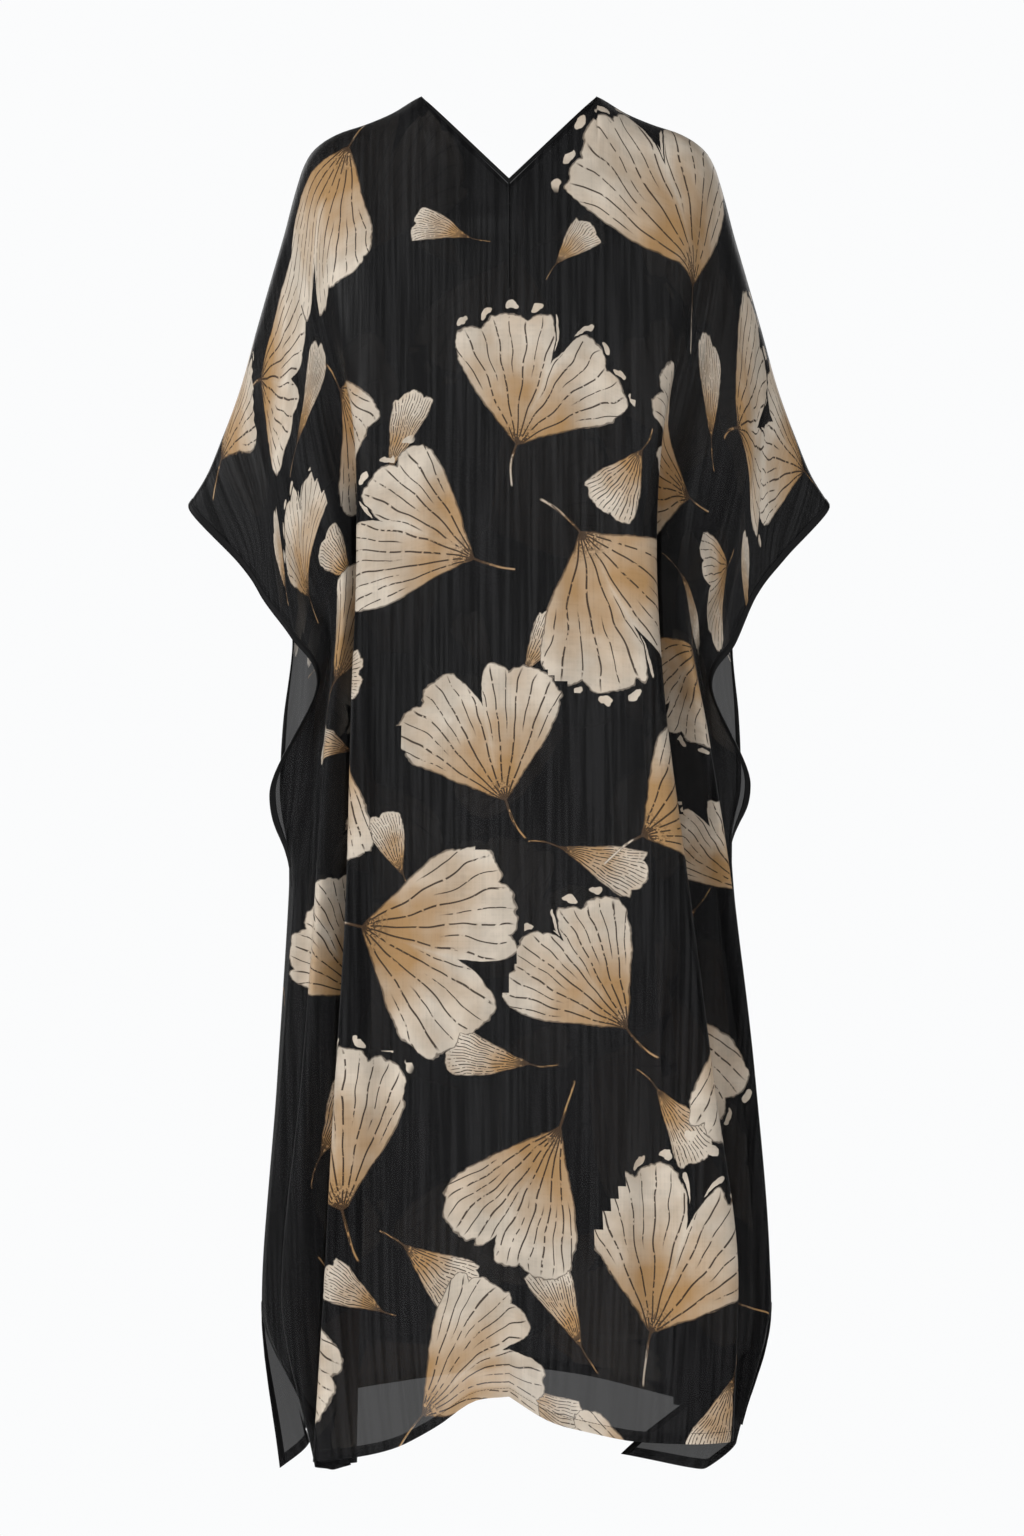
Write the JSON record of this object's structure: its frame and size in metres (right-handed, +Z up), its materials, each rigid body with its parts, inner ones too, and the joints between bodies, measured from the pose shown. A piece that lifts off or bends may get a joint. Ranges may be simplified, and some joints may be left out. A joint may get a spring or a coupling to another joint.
{
  "type": "kaftan",
  "caption": "Long sheer kaftan with a V neck front and back, batwing sleeves, bound side slits and a deep curved hem.",
  "frame": {"origin": "midway between the two neck points, where the wearer's shoulders hold the garment", "axes": "+Z up, +X across the garment towards the right of a viewer who faces its front, -Y towards that viewer"},
  "size_m": [0.6437, 0.2432, 1.3736],
  "materials": {
    "printed_voile": "matte",
    "black_binding": "matte"
  },
  "bodies": {
    "root": {"front_panel": "printed_voile", "back_panel": "printed_voile", "hem_front": "printed_voile", "hem_back": "printed_voile", "neck_binding_front": "black_binding", "neck_binding_back": "black_binding", "sleeve_binding_front_left": "black_binding", "slit_binding_front_left": "black_binding", "sleeve_binding_front_right": "black_binding", "slit_binding_front_right": "black_binding", "sleeve_binding_back_left": "black_binding", "slit_binding_back_left": "black_binding", "sleeve_binding_back_right": "black_binding", "slit_binding_back_right": "black_binding"}
  },
  "joints": []
}
